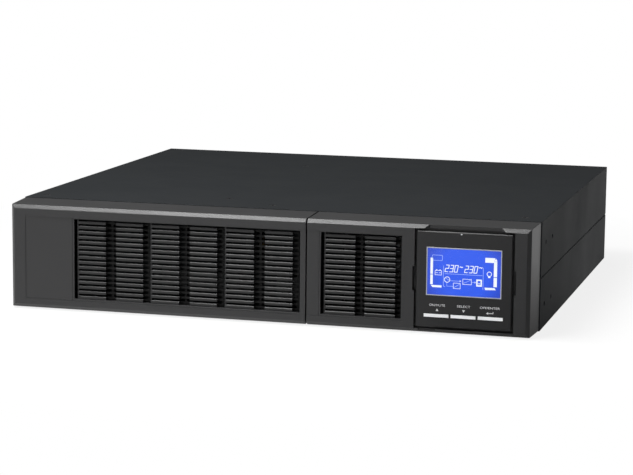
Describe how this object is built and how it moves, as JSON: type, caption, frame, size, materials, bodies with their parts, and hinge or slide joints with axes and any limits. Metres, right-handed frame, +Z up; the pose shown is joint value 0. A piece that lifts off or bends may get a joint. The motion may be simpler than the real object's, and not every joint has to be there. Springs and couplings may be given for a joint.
{
  "type": "uninterruptible power supply",
  "caption": "Flat rack and tower uninterruptible power supply with louvred front, turning display module, sliding battery tray and rear power sockets.",
  "frame": {"origin": "under the middle of the whole object's box, on the surface it rests on", "axes": "+X to the right of the front, -Y out of the front, +Z up with the case lying flat"},
  "size_m": [0.438, 0.4184, 0.088],
  "materials": {
    "case_paint": "black powder coat, fine texture, satin",
    "bare_steel": "zinc plated sheet",
    "front_plastic": "charcoal moulded plastic, fine spark texture",
    "dark_screw": "black oxide",
    "fan_plastic": "black glass filled plastic",
    "board": "green solder mask",
    "brass": "plain brass",
    "heatsink": "extruded, unpolished",
    "black_parts": "black moulded plastic",
    "capacitor_sleeve": "blue black sleeve",
    "copper_winding": "enamelled copper wire",
    "transformer_core": "ferrite core with taped winding",
    "green_plug": "green terminal block",
    "battery_case": "black battery case",
    "battery_filling": "lead plates and absorbed acid",
    "battery_lead": "red insulated lead with plug",
    "strap": "black moulded pull strap",
    "display_plastic": "smooth black plastic",
    "ribbon": "grey ribbon cable",
    "window": "clear window",
    "lcd": "blue backlit display, lit",
    "light": "clear light guide",
    "button_silver": "silver painted"
  },
  "bodies": {
    "chassis": {"bottom_chassis": "case_paint", "top_cover": "case_paint", "front_plate": "case_paint", "rear_panel": "case_paint", "port_panel": "case_paint", "bay_wall": "bare_steel", "right_bezel": "front_plastic", "right_grille": "front_plastic", "cover_screws": "dark_screw", "ear_nuts": "bare_steel", "fan_frame": "fan_plastic", "fan_guard": "bare_steel", "fan_screws": "dark_screw", "power_board": "board", "board_standoffs": "brass", "heatsinks": "heatsink", "power_transistors": "black_parts", "bus_capacitors": "capacitor_sleeve", "inductors": "copper_winding", "transformer": "transformer_core", "relays": "black_parts", "control_board": "board", "filter_choke": "copper_winding", "ac_inlet": "black_parts", "inlet_pins": "bare_steel", "outlet_bank": "black_parts", "breaker_body": "black_parts", "breaker_nut": "black_parts", "network_jacks": "black_parts", "usb_port": "bare_steel", "serial_port": "bare_steel", "epo_socket": "green_plug", "slot_cover": "case_paint", "thumb_screws": "bare_steel", "battery_socket": "black_parts", "ground_screw": "brass", "panel_screws": "dark_screw"},
    "fan": {"fan_rotor": "fan_plastic"},
    "breaker_reset": {"reset_button": "black_parts"},
    "battery_pack": {"battery_tray": "bare_steel", "tray_plate": "case_paint", "battery_cases": "battery_case", "battery_plates": "battery_filling", "battery_terminals": "brass", "battery_lead": "battery_lead", "pull_strap": "strap"},
    "cover": {"battery_cover": "front_plastic", "cover_grilles": "front_plastic", "cover_clips": "front_plastic"},
    "display_cable": {"cable_bush": "display_plastic", "display_lead": "ribbon"},
    "display": {"display_face": "display_plastic", "display_drum": "display_plastic", "display_window": "window", "lcd_panel": "lcd", "display_board": "board", "status_light": "light"},
    "key_up": {"up_button": "button_silver"},
    "key_down": {"down_button": "button_silver"},
    "key_enter": {"enter_button": "button_silver"}
  },
  "joints": [
    {"name": "fan_spin", "type": "hinge", "parent": "chassis", "child": "fan", "pos_m": [0.171, 0.1872, 0.044], "axis": [0, 1, 0], "continuous": true},
    {"name": "breaker_trip", "type": "slide", "parent": "chassis", "child": "breaker_reset", "axis": [0, 1, 0], "range_m": [0, 0.003]},
    {"name": "battery_slide", "type": "slide", "parent": "chassis", "child": "battery_pack", "axis": [0, -1, 0], "range_m": [0, 0.26]},
    {"name": "cover_pull", "type": "slide", "parent": "battery_pack", "child": "cover", "axis": [0, -1, 0], "range_m": [0, 0.12]},
    {"name": "display_pull", "type": "slide", "parent": "chassis", "child": "display_cable", "axis": [0, -1, 0], "range_m": [0, 0.08]},
    {"name": "display_turn", "type": "hinge", "parent": "display_cable", "child": "display", "pos_m": [0.1643, -0.2088, 0.0437], "axis": [0, 1, 0], "range_deg": [0, 90]},
    {"name": "up_press", "type": "slide", "parent": "display", "child": "key_up", "axis": [0, 1, 0], "range_m": [0, 0.001], "stiffness_N_per_m": 400, "springref_m": -0.0005},
    {"name": "down_press", "type": "slide", "parent": "display", "child": "key_down", "axis": [0, 1, 0], "range_m": [0, 0.001], "stiffness_N_per_m": 400, "springref_m": -0.0005},
    {"name": "enter_press", "type": "slide", "parent": "display", "child": "key_enter", "axis": [0, 1, 0], "range_m": [0, 0.001], "stiffness_N_per_m": 400, "springref_m": -0.0005}
  ],
  "couplings": [
    {"joint": "display_turn", "follows": "display_pull", "rad_per_m": 19.635}
  ]
}
